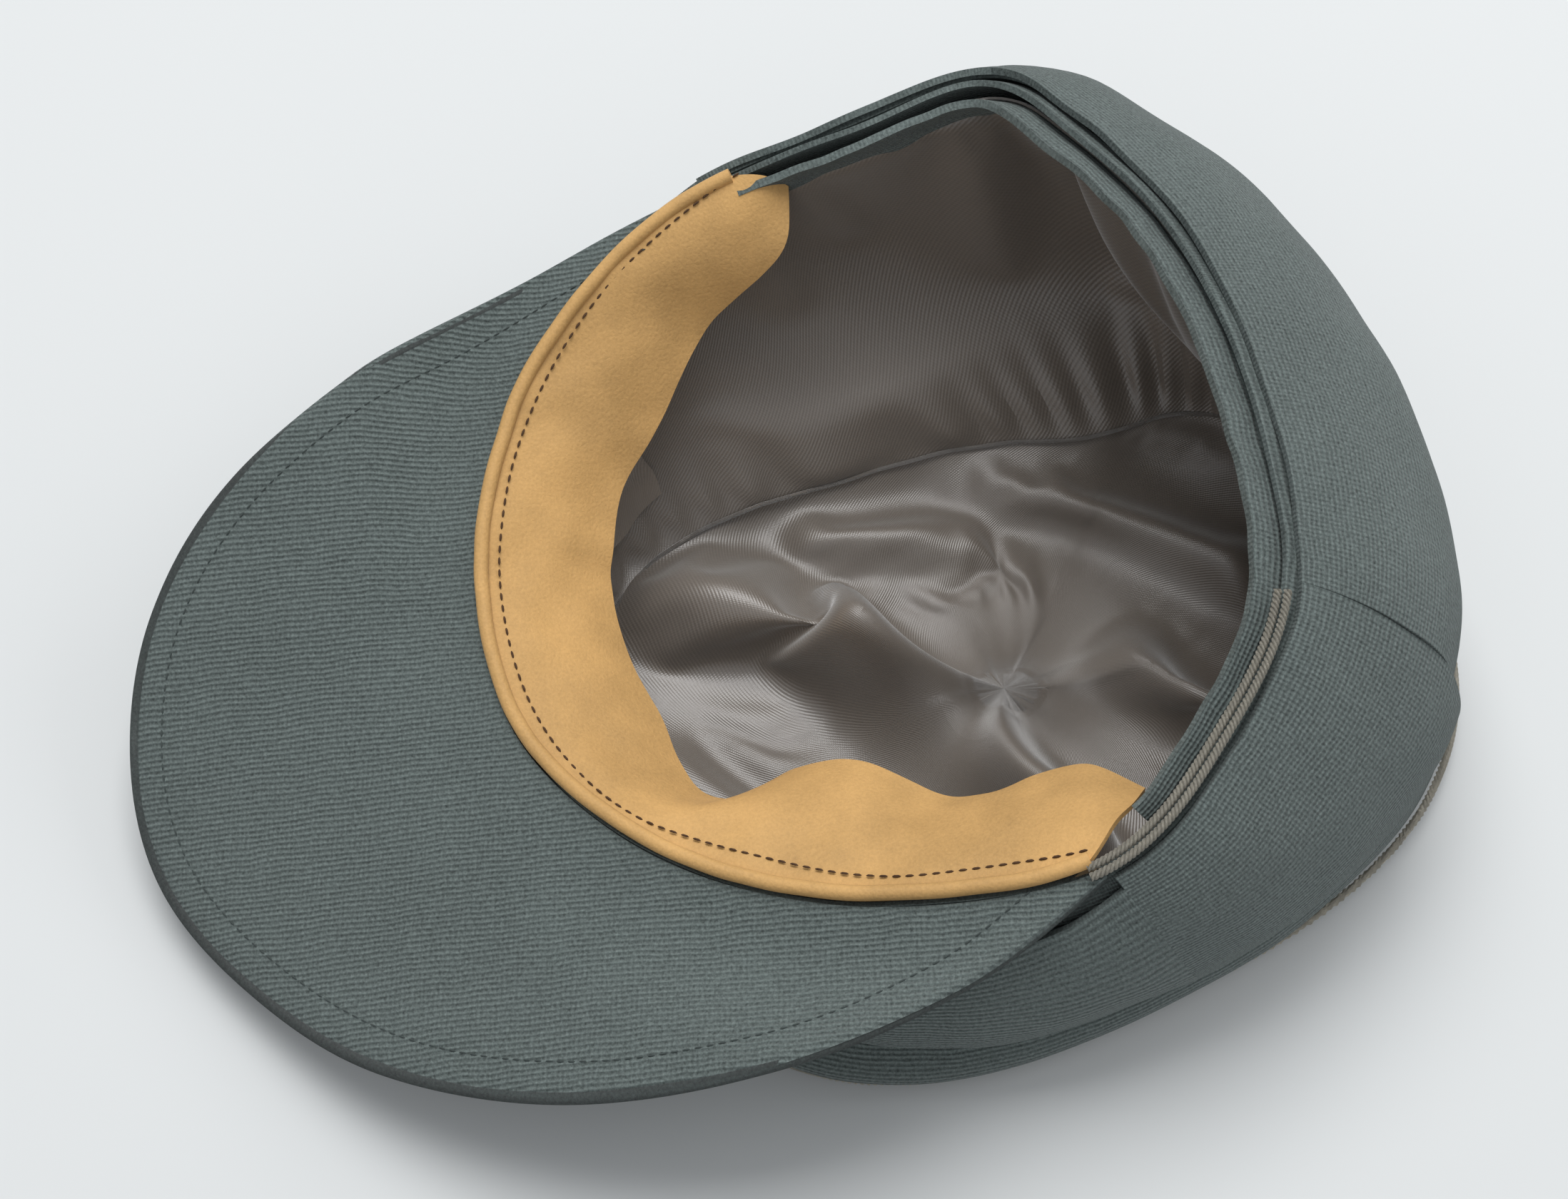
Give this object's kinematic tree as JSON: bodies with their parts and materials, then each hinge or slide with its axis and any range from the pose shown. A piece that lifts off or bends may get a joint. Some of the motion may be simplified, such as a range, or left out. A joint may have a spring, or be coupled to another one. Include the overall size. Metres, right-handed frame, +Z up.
{
  "type": "military peaked cap",
  "caption": "Soft-crown military peaked cap lying upside down on its crown, with a stiff cloth-covered peak, leather half sweatband, satin lining and a turn-up flap",
  "frame": {"origin": "centre of the crown's flat resting face", "axes": "+Z up from the floor the crown rests on, -Y towards the peak's tip, +X the wearer's right"},
  "size_m": [0.2075, 0.3035, 0.1026],
  "materials": {
    "cloth": "ribbed grey-green tricot",
    "lining": "satin twill, grey-brown",
    "satin": "paler satin",
    "leather": "smooth tan leather",
    "thread": "cotton thread",
    "cord": "braided silver cord",
    "board": "pressed fibre board",
    "button": "pebbled, painted field grey"
  },
  "bodies": {
    "cap": {"crown_top_panel": "cloth", "crown_piping": "cord", "side_panel_right": "cloth", "side_panel_left": "cloth", "front_stiffener": "board", "lining_crown": "lining", "lining_side_right": "lining", "lining_side_left": "lining", "lining_crown_seam": "lining", "rim_band": "cloth", "satin_strip": "satin", "sweatband": "leather", "sweatband_fold": "leather", "sweatband_stitching": "thread", "back_seam_tape": "thread", "rim_cord_inner": "cord", "rim_cord_outer": "cord", "peak_board": "board", "peak_upper_cover": "cloth", "peak_under_cover": "cloth", "peak_edge_seam": "cloth", "peak_stitching": "thread"},
    "flap_back": {"flap_back_outer": "cloth", "flap_back_facing": "cloth"},
    "flap_right": {"flap_right_outer": "cloth", "flap_right_facing": "cloth"},
    "flap_left": {"flap_left_outer": "cloth", "flap_left_facing": "cloth"},
    "tab_right": {"front_tab_right": "cloth", "front_tongue": "cloth", "front_button_upper": "button", "front_button_lower": "button"},
    "tab_left": {"front_tab_left": "cloth"}
  },
  "joints": [
    {"name": "flap_back_fold", "type": "hinge", "parent": "cap", "child": "flap_back", "pos_m": [-0.02849, 0.03759, 0.09761], "axis": [0.9958, -0.0652, -0.0649], "range_deg": [0, 120]},
    {"name": "flap_right_fold", "type": "hinge", "parent": "cap", "child": "flap_right", "pos_m": [0.05376, 0.00314, 0.08211], "axis": [0.394, -0.8668, -0.3058], "range_deg": [0, 120]},
    {"name": "flap_left_fold", "type": "hinge", "parent": "cap", "child": "flap_left", "pos_m": [-0.1065, 0.01199, 0.0921], "axis": [0.2949, 0.9104, 0.2902], "range_deg": [0, 120]},
    {"name": "tab_right_swing", "type": "hinge", "parent": "flap_right", "child": "tab_right", "pos_m": [0.08036, -0.02767, 0.03398], "axis": [-0.0755, 0.0042, 0.9971], "range_deg": [0, 96]},
    {"name": "tab_left_swing", "type": "hinge", "parent": "flap_left", "child": "tab_left", "pos_m": [-0.10847, -0.01927, 0.03846], "axis": [0.4762, -0.0155, -0.8792], "range_deg": [0, 96]}
  ],
  "couplings": [
    {"joint": "flap_right_fold", "follows": "flap_back_fold", "ratio": 1},
    {"joint": "flap_left_fold", "follows": "flap_back_fold", "ratio": 1},
    {"joint": "tab_right_swing", "follows": "flap_back_fold", "ratio": 0.8},
    {"joint": "tab_left_swing", "follows": "flap_back_fold", "ratio": 0.8}
  ]
}
